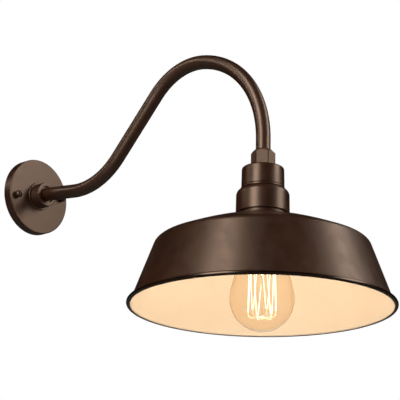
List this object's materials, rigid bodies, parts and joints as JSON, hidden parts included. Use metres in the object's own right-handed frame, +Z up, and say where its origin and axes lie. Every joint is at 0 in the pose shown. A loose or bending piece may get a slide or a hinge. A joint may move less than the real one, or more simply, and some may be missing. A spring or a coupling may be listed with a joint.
{
  "type": "gooseneck wall light",
  "caption": "Wall light with a round canopy, a bent gooseneck arm, a stepped fitter and a flared metal shade over a clear pear-shaped lamp that screws into its socket.",
  "frame": {"origin": "centre of the canopy on the wall plane", "axes": "+Y into the wall, +Z up, the arm reaches out along -Y in the plane X = 0"},
  "size_m": [0.3556, 0.6414, 0.4158],
  "materials": {
    "bronze_finish": "oil-rubbed bronze, satin",
    "shade_finish": "oil-rubbed bronze outside, warm white enamel inside",
    "foam": "closed-cell foam",
    "zinc_steel": "zinc plated",
    "green_steel": "green plated",
    "black_steel": "black oxide",
    "tinned_copper": "tinned",
    "connector_plastic": "moulded",
    "porcelain": "glazed",
    "brass": "bright",
    "black_insulation": "extruded",
    "white_insulation": "extruded",
    "green_insulation": "extruded",
    "solder": "dull solder",
    "black_glass": "vitrified",
    "amber_glass": "clear with a light amber tint",
    "clear_glass": "clear",
    "support_wire": "drawn wire",
    "filament": "glowing carbonised wire"
  },
  "bodies": {
    "fixture": {"wall_gasket": "foam", "mounting_plate": "zinc_steel", "canopy_studs": "zinc_steel", "cap_nuts": "bronze_finish", "canopy": "bronze_finish", "ground_terminal": "tinned_copper", "ground_screw": "green_steel", "wire_nuts": "connector_plastic", "collar_washer": "bronze_finish", "collar": "bronze_finish", "collar_set_screw": "black_steel", "arm_washer": "zinc_steel", "arm_locknut": "zinc_steel", "gooseneck_arm": "bronze_finish", "hex_coupling": "bronze_finish", "head_nipple": "zinc_steel", "upper_cup": "bronze_finish", "trim_ring": "bronze_finish", "lower_cup": "bronze_finish", "head_washer": "zinc_steel", "head_locknut": "zinc_steel", "shade": "shade_finish", "shade_gasket": "foam", "shade_screws": "zinc_steel", "socket_bracket": "zinc_steel", "socket_screws": "zinc_steel", "socket_body": "porcelain", "socket_shell": "brass", "socket_contact": "brass", "terminal_screws": "brass", "black_lead": "black_insulation", "white_lead": "white_insulation", "earth_lead": "green_insulation"},
    "lamp_thread": {"lamp_tip": "solder", "lamp_insulator": "black_glass"},
    "lamp": {"lamp_base": "brass", "lamp_glass": "amber_glass", "lamp_stem": "clear_glass", "lamp_upper_spider": "support_wire", "lamp_lower_spider": "support_wire", "lamp_filament": "filament", "lamp_lead_wires": "support_wire"}
  },
  "joints": [
    {"name": "lamp_travel", "type": "slide", "parent": "fixture", "child": "lamp_thread", "axis": [0, 0, 1], "range_m": [-0.01815, 0]},
    {"name": "lamp_turn", "type": "hinge", "parent": "lamp_thread", "child": "lamp", "pos_m": [0, -0.46367, -0.18], "axis": [0, 0, 1], "range_deg": [0, 1800]}
  ],
  "couplings": [
    {"joint": "lamp_travel", "follows": "lamp_turn", "m_per_rad": -0.00057757}
  ]
}
